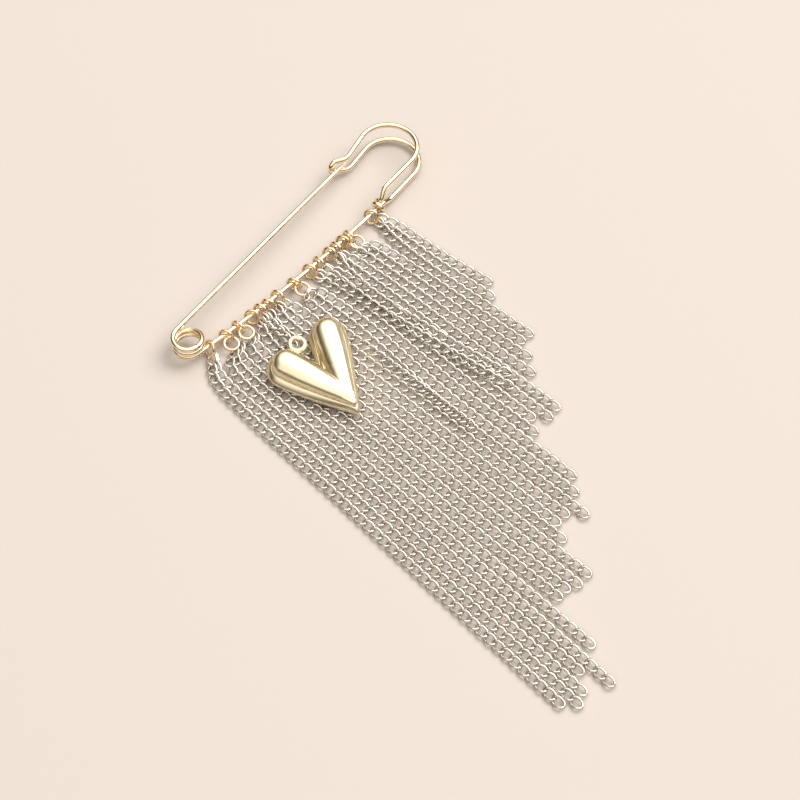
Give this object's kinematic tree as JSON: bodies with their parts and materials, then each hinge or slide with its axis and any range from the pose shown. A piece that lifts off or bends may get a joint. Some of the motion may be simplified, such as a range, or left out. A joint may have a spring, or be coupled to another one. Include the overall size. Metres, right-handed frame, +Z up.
{
  "type": "safety pin brooch with chain fringe and heart charm",
  "caption": "Safety pin brooch with a coiled spring and crook catch, a fringe of curb chains hung from jump rings, and a puffed heart charm.",
  "frame": {"origin": "on the table under the middle of the whole brooch, which lies flat on its back", "axes": "+X along the bar towards the crook, +Y from the chain ends up towards the pin, +Z up from the table"},
  "size_m": [0.0852, 0.1311, 0.0061],
  "materials": {
    "pin_gold": "bright pale gold plating on spring wire",
    "ring_gold": "bright warm gold plating",
    "chain_steel": "bright silver-grey plating, worn soft",
    "charm_gold": "polished champagne gold plating"
  },
  "bodies": {
    "brooch": {"pin_frame": "pin_gold", "ring_01": "ring_gold", "ring_02": "ring_gold", "ring_03": "ring_gold", "ring_04": "ring_gold", "ring_05": "ring_gold", "ring_06": "ring_gold", "ring_07": "ring_gold", "ring_08": "ring_gold", "ring_09": "ring_gold", "ring_10": "ring_gold", "ring_11": "ring_gold", "ring_12": "ring_gold", "ring_13": "ring_gold", "ring_14": "ring_gold", "ring_15": "ring_gold", "lower_ring_01": "ring_gold", "lower_ring_02": "ring_gold", "lower_ring_03": "ring_gold", "lower_ring_04": "ring_gold", "chain_01": "chain_steel", "chain_02": "chain_steel", "chain_03": "chain_steel", "chain_04": "chain_steel", "chain_05": "chain_steel", "chain_06": "chain_steel", "chain_07": "chain_steel", "chain_08": "chain_steel", "chain_09": "chain_steel", "chain_10": "chain_steel", "chain_11": "chain_steel", "chain_12": "chain_steel", "chain_13": "chain_steel", "chain_14": "chain_steel", "chain_15": "chain_steel", "chain_16": "chain_steel", "chain_17": "chain_steel", "chain_18": "chain_steel", "chain_19": "chain_steel", "chain_20": "chain_steel", "chain_21": "chain_steel", "chain_22": "chain_steel", "chain_23": "chain_steel", "chain_24": "chain_steel", "chain_25": "chain_steel", "chain_26": "chain_steel", "chain_27": "chain_steel", "chain_28": "chain_steel", "chain_29": "chain_steel", "heart_chain": "chain_steel", "heart_charm": "charm_gold"},
    "needle": {"pin_needle": "pin_gold"}
  },
  "joints": [
    {"name": "needle_spring", "type": "hinge", "parent": "brooch", "child": "needle", "pos_m": [-0.03185, 0.05286, 0.0047], "axis": [0, 0, 1], "range_deg": [-5, 0], "stiffness_Nm_per_rad": 0.05}
  ]
}
